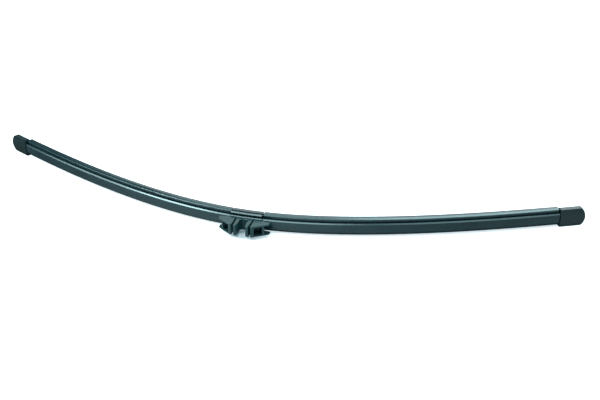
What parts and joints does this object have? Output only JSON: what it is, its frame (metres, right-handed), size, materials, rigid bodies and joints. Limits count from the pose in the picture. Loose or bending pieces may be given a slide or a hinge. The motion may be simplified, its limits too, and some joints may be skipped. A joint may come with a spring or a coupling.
{
  "type": "wiper blade",
  "caption": "Bowed flat rear wiper blade: rubber strip on steel flexors under a grooved back cover, end caps, ribbed centre bracket and a clip-in connector with spring jaws.",
  "frame": {"origin": "centre of the seat for the arm's cross pin, half way across the blade", "axes": "+X along the blade, +Y from the arm towards the glass, +Z across the blade along the pin, upward as it lies on its side"},
  "size_m": [0.378, 0.0763, 0.0112],
  "materials": {
    "rubber": "matte black, slightly dusted graphite coat",
    "flexor_steel": "black painted spring steel",
    "cover_plastic": "satin black extrusion with fine draw lines",
    "cap_plastic": "fine-grained satin black moulding",
    "bracket_plastic": "satin black moulding",
    "connector_plastic": "satin black moulding"
  },
  "bodies": {
    "root": {"wiper_rubber": "rubber", "flexor_upper": "flexor_steel", "flexor_lower": "flexor_steel", "cover_left": "cover_plastic", "cover_right": "cover_plastic", "end_cap_left": "cap_plastic", "end_cap_right": "cap_plastic", "centre_bracket": "bracket_plastic", "connector": "connector_plastic"}
  },
  "joints": []
}
